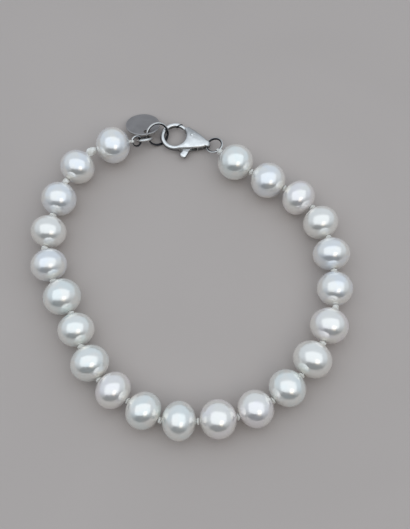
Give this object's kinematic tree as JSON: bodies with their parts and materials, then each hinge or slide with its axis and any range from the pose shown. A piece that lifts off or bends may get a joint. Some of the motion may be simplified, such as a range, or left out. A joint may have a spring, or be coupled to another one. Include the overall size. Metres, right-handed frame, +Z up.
{
  "type": "pearl bracelet",
  "caption": "Single strand of off-round pearls knotted on silk, closed by a silver lobster clasp with jump rings and a plain round tag.",
  "frame": {"origin": "under the middle of the laid-out loop's bounding box, on the plane that the pearls rest on", "axes": "+Z up from the resting plane; +Y across the loop's longer way, from the middle of the strand to the clasp; +X to the clasp's tail"},
  "size_m": [0.067, 0.0744, 0.0082],
  "materials": {
    "pearl": "gloss",
    "silk": "matte",
    "polished_silver": "polished",
    "satin_silver": "satin"
  },
  "bodies": {
    "bracelet": {"pearl_01": "pearl", "pearl_02": "pearl", "pearl_03": "pearl", "pearl_04": "pearl", "pearl_05": "pearl", "pearl_06": "pearl", "pearl_07": "pearl", "pearl_08": "pearl", "pearl_09": "pearl", "pearl_10": "pearl", "pearl_11": "pearl", "pearl_12": "pearl", "pearl_13": "pearl", "pearl_14": "pearl", "pearl_15": "pearl", "pearl_16": "pearl", "pearl_17": "pearl", "pearl_18": "pearl", "pearl_19": "pearl", "pearl_20": "pearl", "pearl_21": "pearl", "pearl_22": "pearl", "silk_thread": "silk", "clasp_body": "polished_silver", "clasp_pin": "polished_silver", "end_ring": "polished_silver", "link_ring": "polished_silver", "joining_ring": "polished_silver", "tail_ring": "polished_silver", "tag": "satin_silver"},
    "lever": {"clasp_lever": "polished_silver"}
  },
  "joints": [
    {"name": "clasp_lever_pivot", "type": "hinge", "parent": "bracelet", "child": "lever", "pos_m": [0.00026, 0.03114, 0.00125], "axis": [0, 0, 1], "range_deg": [0, 22], "stiffness_Nm_per_rad": 0.01}
  ]
}
